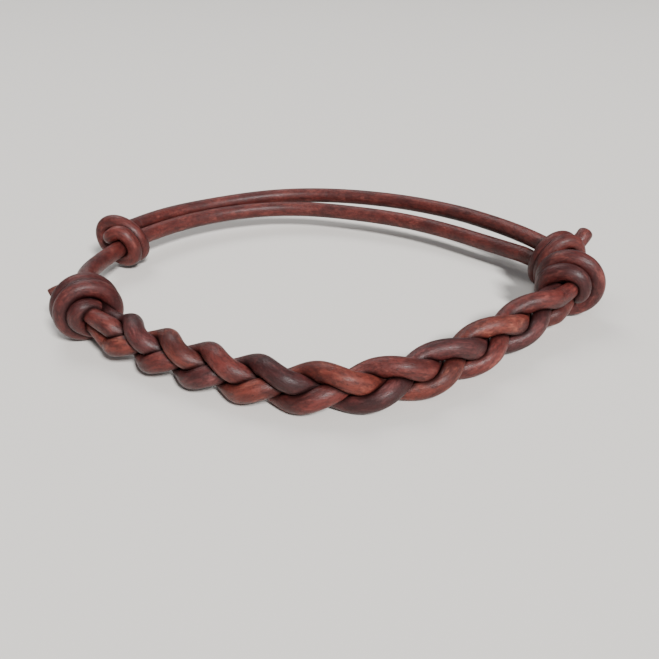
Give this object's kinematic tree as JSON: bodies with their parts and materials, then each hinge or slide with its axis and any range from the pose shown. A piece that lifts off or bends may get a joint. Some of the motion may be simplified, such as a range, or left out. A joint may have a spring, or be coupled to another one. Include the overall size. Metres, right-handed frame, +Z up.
{
  "type": "braided cord bracelet",
  "caption": "Adjustable bracelet of round leather cord: a flat braid at the front, plain cords at the back and knots that slide along them to change its size.",
  "frame": {"origin": "on the surface that the bracelet lies on, under the middle of its bounding box", "axes": "+Z up out of the surface, +X to the right along the bracelet's width, +Y from the braid at the front to the plain cords at the back"},
  "size_m": [0.0592, 0.0522, 0.0076],
  "materials": {
    "strand_leather_light": "smooth rolled leather cord with a soft sheen",
    "strand_leather_dark": "smooth rolled leather cord with a soft sheen",
    "strand_leather_mid": "smooth rolled leather cord with a soft sheen",
    "knot_leather": "smooth rolled leather cord with a soft sheen",
    "trimmed_leather": "smooth rolled leather cord with a soft sheen",
    "cord_leather": "smooth rolled leather cord with a soft sheen"
  },
  "bodies": {
    "bracelet": {"braid_strand_1": "strand_leather_light", "braid_strand_2": "strand_leather_dark", "braid_strand_3": "strand_leather_mid", "left_end_wrap": "knot_leather", "right_end_wrap": "knot_leather", "left_trimmed_end": "trimmed_leather", "right_trimmed_end": "trimmed_leather", "left_back_cord": "cord_leather", "right_back_cord": "cord_leather"},
    "left_slider": {"left_sliding_knot": "knot_leather"},
    "right_slider": {"right_sliding_knot": "knot_leather"}
  },
  "joints": [
    {"name": "left_knot_slide", "type": "hinge", "parent": "bracelet", "child": "left_slider", "pos_m": [-0.00522, 0.00048, 0.00296], "axis": [0, 0, -1], "range_deg": [-15, 55], "deforming": ["right_back_cord"]},
    {"name": "right_knot_slide", "type": "hinge", "parent": "bracelet", "child": "right_slider", "pos_m": [-0.00722, -0.00992, 0.0044], "axis": [0, 0, 1], "range_deg": [0, 30], "deforming": ["left_back_cord"]}
  ]
}
